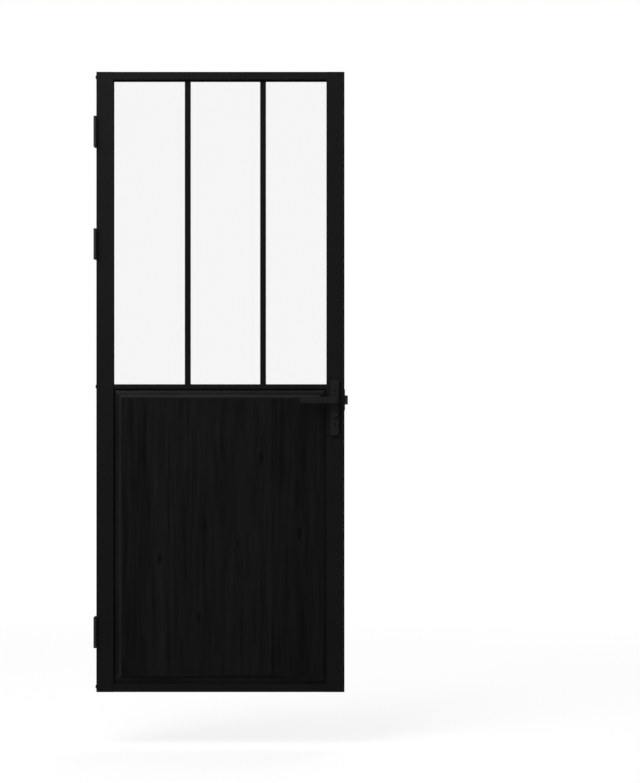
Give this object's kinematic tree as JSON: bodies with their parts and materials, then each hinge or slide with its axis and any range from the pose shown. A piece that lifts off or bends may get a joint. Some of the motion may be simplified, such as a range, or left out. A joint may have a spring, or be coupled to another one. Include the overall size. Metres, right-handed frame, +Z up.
{
  "type": "glazed interior door",
  "caption": "Black glazed interior door leaf: tall panes between slim bars over a raised wood-grain panel, hung on butt hinges, with a lever handle, sprung latch and key cylinder.",
  "frame": {"origin": "The bottom edge of the leaf, in the middle of its width and thickness.", "axes": "+Z is up, -Y is the front that the hinges open towards, +X runs from the hinges to the lock."},
  "size_m": [0.8324, 0.13, 2.032],
  "materials": {
    "frame_aluminium": "black powder coat",
    "clear_glass": "clear tempered",
    "gasket_rubber": "matte",
    "panel_wood": "black stained grain",
    "cap_plastic": "matte",
    "bush_plastic": "matte",
    "black_screw": "black oxide",
    "hinge_steel": "black coat",
    "lock_steel": "zinc plate",
    "latch_steel": "black coat",
    "handle_metal": "black coat",
    "cylinder_brass": "black plated"
  },
  "bodies": {
    "jamb_side": {"hinge_jamb_leaves": "hinge_steel", "hinge_pins": "hinge_steel"},
    "leaf": {"hinge_stile": "frame_aluminium", "lock_stile": "frame_aluminium", "top_rail": "frame_aluminium", "bottom_rail": "frame_aluminium", "mid_rail": "frame_aluminium", "glazing_bars": "frame_aluminium", "pane_hinge_side": "clear_glass", "pane_middle": "clear_glass", "pane_lock_side": "clear_glass", "gasket_hinge_side": "gasket_rubber", "gasket_middle": "gasket_rubber", "gasket_lock_side": "gasket_rubber", "raised_panel": "panel_wood", "hinge_stile_caps": "cap_plastic", "lock_stile_caps": "cap_plastic", "button_screws": "black_screw", "sunk_screws": "black_screw", "hinge_door_leaves": "hinge_steel", "hinge_screws": "black_screw", "lock_case": "lock_steel", "lock_cover": "lock_steel", "case_rivets": "lock_steel", "latch_faceplate": "latch_steel", "faceplate_screws": "black_screw", "latch_spring": "lock_steel", "cylinder_body": "cylinder_brass", "cylinder_screw": "black_screw", "front_plate": "handle_metal", "back_plate": "handle_metal", "plate_bolts": "black_screw", "plate_sleeves": "black_screw", "lever_bushes": "bush_plastic"},
    "lever_set": {"front_lever": "handle_metal", "back_lever": "handle_metal", "spindle": "lock_steel", "grub_screws": "black_screw", "follower_hub": "lock_steel"},
    "latch": {"latch_bolt": "latch_steel"},
    "key_plugs": {"plug_front": "cylinder_brass", "plug_back": "cylinder_brass", "cylinder_cam": "lock_steel"}
  },
  "joints": [
    {"name": "leaf_swing", "type": "hinge", "parent": "jamb_side", "child": "leaf", "pos_m": [-0.4096, -0.0325, 1], "axis": [0, 0, -1], "range_deg": [0, 175]},
    {"name": "lever_turn", "type": "hinge", "parent": "leaf", "child": "lever_set", "pos_m": [0.3744, 0, 0.957], "axis": [0, -1, 0], "range_deg": [0, 40], "stiffness_Nm_per_rad": 1.2, "springref_deg": -34.38},
    {"name": "latch_slide", "type": "slide", "parent": "leaf", "child": "latch", "axis": [-1, 0, 0], "range_m": [0, 0.0097], "deforming": ["latch_spring"]},
    {"name": "key_turn", "type": "hinge", "parent": "leaf", "child": "key_plugs", "pos_m": [0.3744, 0, 0.909], "axis": [0, -1, 0], "range_deg": [0, 90]}
  ],
  "couplings": [
    {"joint": "latch_slide", "follows": "lever_turn", "m_per_rad": 0.01375}
  ]
}
